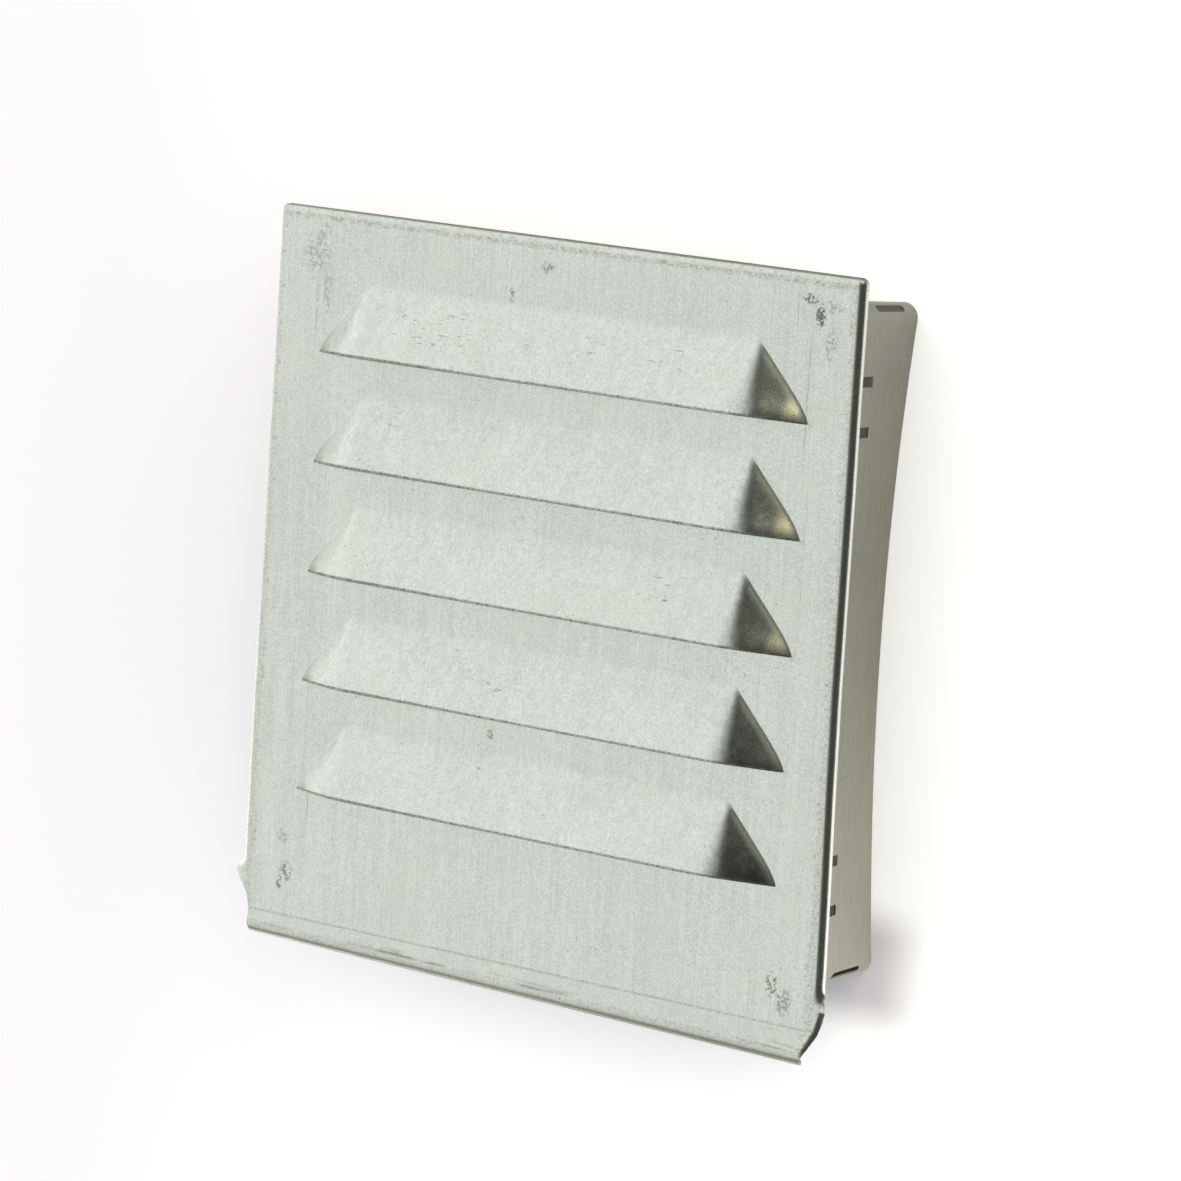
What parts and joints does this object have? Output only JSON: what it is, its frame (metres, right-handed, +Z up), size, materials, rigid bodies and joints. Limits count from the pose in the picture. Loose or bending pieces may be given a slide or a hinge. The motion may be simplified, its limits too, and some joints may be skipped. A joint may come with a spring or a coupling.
{
  "type": "louvred sheet metal panel",
  "caption": "Near square wall vent panel of galvanised sheet, with pressed louvres, a drip nose along its lower edge and a square wall sleeve behind it.",
  "frame": {"origin": "on the wall's face, at the middle of the wall sleeve", "axes": "-Y is the front, +Y goes into the wall along the sleeve, +Z is up"},
  "size_m": [0.2366, 0.0643, 0.2524],
  "materials": {
    "galvanised_plate": "skin-passed galvanised sheet, with rolling streaks, scuffs and press marks",
    "galvanised_sleeve": "plain galvanised sheet"
  },
  "bodies": {
    "root": {"louvred_front_plate": "galvanised_plate", "wall_sleeve": "galvanised_sleeve"}
  },
  "joints": []
}
